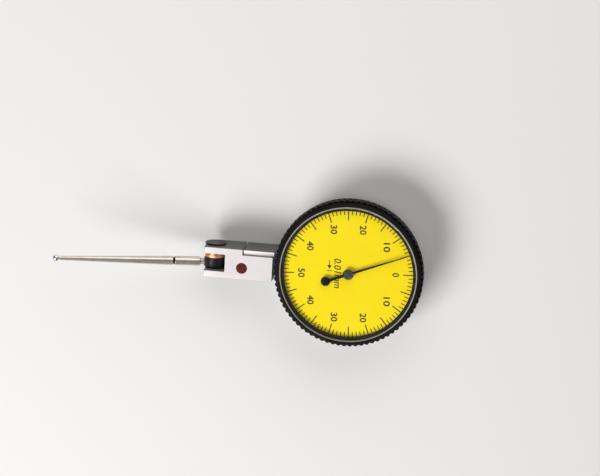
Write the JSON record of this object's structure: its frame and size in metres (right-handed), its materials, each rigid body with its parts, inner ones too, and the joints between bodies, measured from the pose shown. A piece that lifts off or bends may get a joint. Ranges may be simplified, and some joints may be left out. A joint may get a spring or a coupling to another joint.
{
  "type": "dial test indicator",
  "caption": "Lever-type dial test indicator with a yellow dial, black turning bezel, geared movement, dovetailed bar body and a ball-ended stylus held in a friction clutch.",
  "frame": {"origin": "on the hand's axis, in the rest plane of the rear dovetail rail", "axes": "+Z the way the dial faces, +X from the stylus towards the dial, +Y the side with the side dovetail"},
  "size_m": [0.0974, 0.0394, 0.0177],
  "materials": {
    "satin_chrome": "satin chrome plate over a ground steel body",
    "black_bezel": "black satin finish on a turned and knurled aluminium ring",
    "dial_yellow": "semi-matt yellow dial paint with black printed marks",
    "black_plastic": "matt black",
    "clear_crystal": "clear, flat, with a bevelled edge",
    "cream_nylon": "cream nylon, semi-matt",
    "brass": "fine turned and lapped brass",
    "steel": "fine turned steel",
    "spring_steel": "blued spring strip",
    "jewel": "polished synthetic ruby",
    "hand_black": "matt black",
    "hub_grey": "dark turned metal with a bright edge",
    "copper": "copper alloy, turned, semi-bright",
    "black_steel": "black oxide, satin",
    "red_seal": "dark red sealing compound, slightly mottled",
    "stylus_metal": "satin nickel, drawn along its length",
    "polished_ball": "mirror polished carbide"
  },
  "bodies": {
    "root": {"frame_body": "satin_chrome", "case_skirt": "black_bezel", "bezel_snap_ring": "steel", "plate_screws": "steel", "centre_bush": "jewel", "movement_plate": "brass", "post_screws": "steel", "finger_post": "brass", "plain_post": "brass", "crown_bushes": "jewel", "hairspring": "spring_steel", "hairspring_stud": "brass", "pivot_bush_upper": "brass", "pivot_bush_lower": "brass", "pivot_cap_upper": "black_steel", "pivot_cap_lower": "black_steel", "bore_seal": "red_seal"},
    "bezel": {"bezel_ring": "black_bezel", "dial_plate": "dial_yellow", "dial_spacer": "black_plastic", "crystal": "clear_crystal", "crystal_gasket": "cream_nylon"},
    "hand": {"centre_arbor": "steel", "hairspring_collet": "brass", "hand": "hand_black", "hand_hub": "hub_grey"},
    "crown": {"crown_arbor": "steel", "crown_gear": "brass"},
    "lever": {"sector_lever": "brass", "lever_arbor": "steel", "clutch_washer": "copper", "spring_washer": "spring_steel"},
    "stylus": {"stylus_holder": "black_steel", "stylus_shank": "stylus_metal", "ball_tip": "polished_ball"}
  },
  "joints": [
    {"name": "bezel_turn", "type": "hinge", "parent": "root", "child": "bezel", "pos_m": [0, 0, 0.0095], "axis": [0, 0, 1], "continuous": true},
    {"name": "hand_turn", "type": "hinge", "parent": "root", "child": "hand", "pos_m": [0, 0, 0.01], "axis": [0, 0, 1], "range_deg": [-400, 400], "stiffness_Nm_per_rad": 0.0000075, "deforming": ["hairspring"]},
    {"name": "crown_turn", "type": "hinge", "parent": "root", "child": "crown", "pos_m": [0, 0, 0.0063], "axis": [0, 1, 0], "range_deg": [-50.1, 50.1]},
    {"name": "lever_swing", "type": "hinge", "parent": "root", "child": "lever", "pos_m": [-0.036, 0, 0.0063], "axis": [0, 1, 0], "range_deg": [-1.54, 1.54]},
    {"name": "stylus_set", "type": "hinge", "parent": "lever", "child": "stylus", "pos_m": [-0.036, 0, 0.0063], "axis": [0, 1, 0], "range_deg": [-114, 85]}
  ],
  "couplings": [
    {"joint": "crown_turn", "follows": "hand_turn", "ratio": 0.125},
    {"joint": "lever_swing", "follows": "hand_turn", "ratio": -0.0037879}
  ]
}
